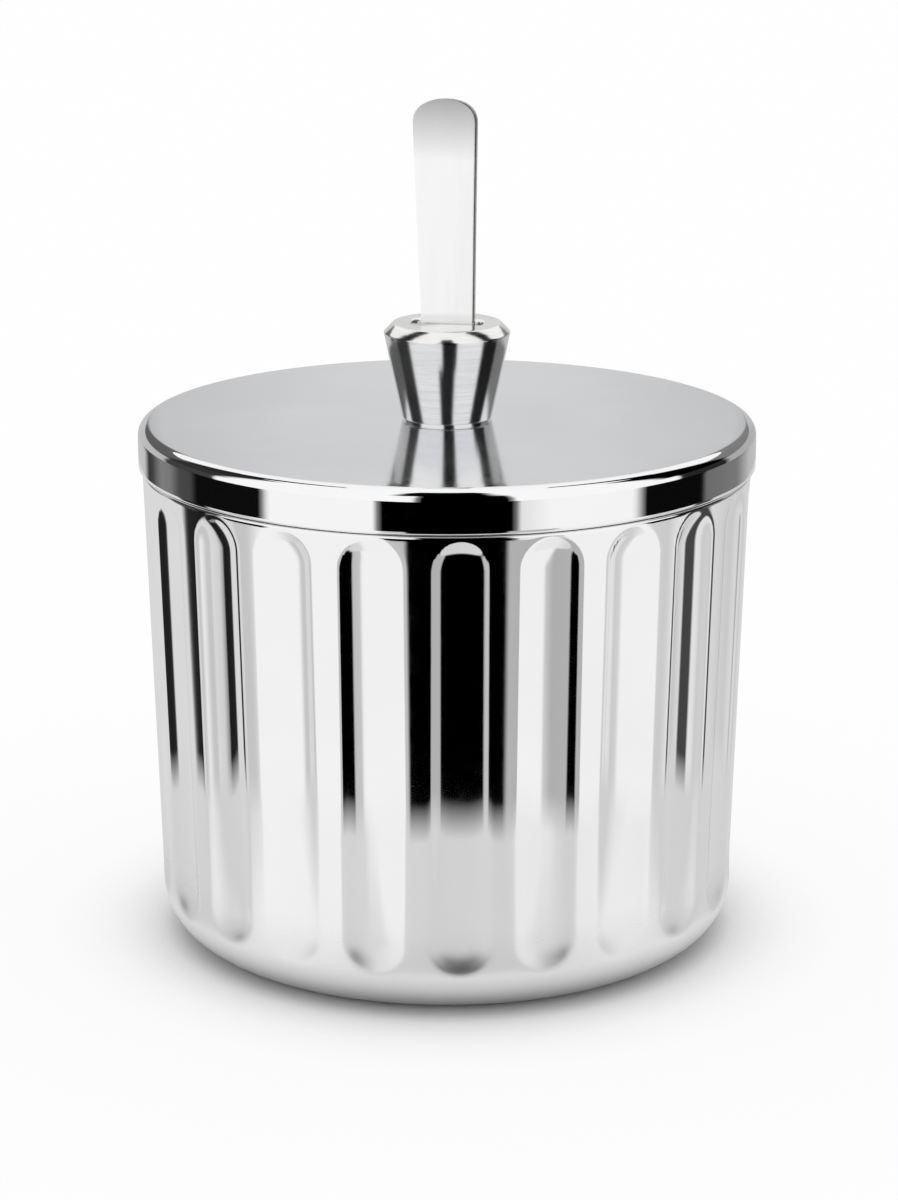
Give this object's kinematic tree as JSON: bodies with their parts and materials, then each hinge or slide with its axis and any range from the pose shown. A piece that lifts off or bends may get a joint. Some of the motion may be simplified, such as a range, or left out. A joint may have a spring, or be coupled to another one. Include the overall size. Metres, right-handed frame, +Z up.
{
  "type": "ghee pot",
  "caption": "Fluted round steel pot with a flat lift-off cap lid; a spoon stands inside and its flat handle passes up through a slot in the lid's tapered knob.",
  "frame": {"origin": "on the pot's upright axis, at the plane it stands on", "axes": "+Z up along the pot's axis, -Y towards the viewer in the picture, +X to the viewer's right"},
  "size_m": [0.095, 0.095, 0.1304],
  "materials": {
    "pot_steel": "mirror polished stainless steel",
    "lid_steel": "polished stainless steel, soft sheen on top",
    "knob_steel": "fine turned stainless steel",
    "screw_steel": "plain stainless steel",
    "spoon_steel": "satin polished stainless steel"
  },
  "bodies": {
    "pot": {"pot_body": "pot_steel"},
    "lid": {"lid": "lid_steel", "knob": "knob_steel", "knob_screws": "screw_steel"},
    "spoon": {"spoon": "spoon_steel"}
  },
  "joints": [
    {"name": "lid_lift", "type": "slide", "parent": "pot", "child": "lid", "axis": [0, 0, 1], "range_m": [0, 0.06]},
    {"name": "spoon_lift", "type": "slide", "parent": "pot", "child": "spoon", "axis": [0, 0, 1], "range_m": [0, 0.039]}
  ]
}
